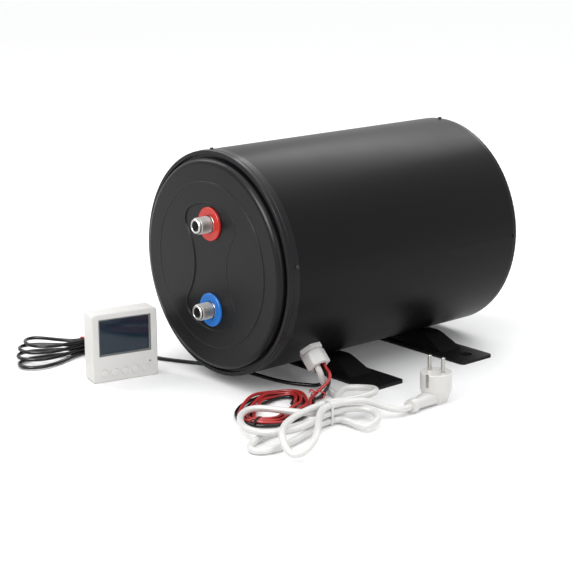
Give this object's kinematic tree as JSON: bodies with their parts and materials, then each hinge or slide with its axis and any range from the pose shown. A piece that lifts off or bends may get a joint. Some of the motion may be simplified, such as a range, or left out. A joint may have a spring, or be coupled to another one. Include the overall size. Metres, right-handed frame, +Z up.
{
  "type": "caravan water heater",
  "caption": "Black cylindrical storage water heater for a caravan, with mains and low voltage leads and a control panel.",
  "frame": {"origin": "centre of the four foot holes on the mounting face", "axes": "+Z up from the mounting face, -Y the way the water fittings point, X across the tank"},
  "size_m": [0.5517, 0.5509, 0.292],
  "materials": {
    "jacket_paint": "satin black coating",
    "cover_plastic": "fine texture",
    "black_steel": "black oxide",
    "stainless": "brushed",
    "foam": "rigid foam",
    "red_plastic": "smooth",
    "blue_plastic": "smooth",
    "element_metal": "drawn",
    "brass_fitting": "turned",
    "sensor_sleeve": "plain",
    "cutout_case": "moulded",
    "white_nylon": "satin",
    "black_rubber": "matt",
    "bracket_paint": "matt black",
    "plated_steel": "zinc plated",
    "white_sheath": "soft gloss",
    "black_sheath": "soft gloss",
    "red_sheath": "soft gloss",
    "clear_tie": "smooth",
    "white_plastic": "moulded",
    "nickel": "plated",
    "panel_plastic": "fine texture",
    "window_plastic": "polished",
    "display_face": "unlit",
    "board_laminate": "solder mask",
    "lamp_lens": "clear lens"
  },
  "bodies": {
    "heater": {"jacket": "jacket_paint", "front_cover": "cover_plastic", "rear_cover": "cover_plastic", "front_cover_screws": "black_steel", "rear_cover_screws": "black_steel", "inner_tank": "stainless", "insulation": "foam", "hot_outlet_stub": "stainless", "cold_inlet_stub": "stainless", "hot_marker_ring": "red_plastic", "cold_marker_ring": "blue_plastic", "hot_pickup_pipe": "stainless", "cold_inlet_pipe": "stainless", "mains_element": "element_metal", "dc_element": "element_metal", "sensor_pocket": "brass_fitting", "temperature_sensor": "sensor_sleeve", "thermal_cutout": "cutout_case", "terminal_block": "white_nylon", "gland_body": "white_nylon", "gland_locknut": "white_nylon", "gland_cap_nut": "white_nylon", "gland_seal": "black_rubber", "front_bracket": "bracket_paint", "rear_bracket": "bracket_paint", "bracket_screws": "plated_steel", "mains_lead": "white_sheath", "mains_hank": "white_sheath", "mains_tail": "white_sheath", "mains_tie": "clear_tie", "dc_negative_lead": "black_sheath", "dc_positive_lead": "red_sheath", "dc_negative_coil": "black_sheath", "dc_positive_coil": "red_sheath", "control_lead": "black_sheath", "control_hank": "black_sheath", "control_tail": "black_sheath", "control_tie": "red_plastic", "plug_body": "white_plastic", "plug_pins": "nickel", "plug_earth_clips": "nickel", "panel_front_shell": "panel_plastic", "panel_back_shell": "panel_plastic", "panel_window": "window_plastic", "display_module": "display_face", "panel_board": "board_laminate", "status_lamp": "lamp_lens", "panel_screws": "plated_steel"},
    "button_1_body": {"button_1": "panel_plastic"},
    "button_2_body": {"button_2": "panel_plastic"},
    "button_3_body": {"button_3": "panel_plastic"},
    "button_4_body": {"button_4": "panel_plastic"},
    "button_5_body": {"button_5": "panel_plastic"}
  },
  "joints": [
    {"name": "button_1_press", "type": "slide", "parent": "heater", "child": "button_1_body", "axis": [-0.9748, 0.2233, 0], "range_m": [0, 0.0006], "stiffness_N_per_m": 400},
    {"name": "button_2_press", "type": "slide", "parent": "heater", "child": "button_2_body", "axis": [-0.9748, 0.2233, 0], "range_m": [0, 0.0006], "stiffness_N_per_m": 400},
    {"name": "button_3_press", "type": "slide", "parent": "heater", "child": "button_3_body", "axis": [-0.9748, 0.2233, 0], "range_m": [0, 0.0006], "stiffness_N_per_m": 400},
    {"name": "button_4_press", "type": "slide", "parent": "heater", "child": "button_4_body", "axis": [-0.9748, 0.2233, 0], "range_m": [0, 0.0006], "stiffness_N_per_m": 400},
    {"name": "button_5_press", "type": "slide", "parent": "heater", "child": "button_5_body", "axis": [-0.9748, 0.2233, 0], "range_m": [0, 0.0006], "stiffness_N_per_m": 400}
  ]
}
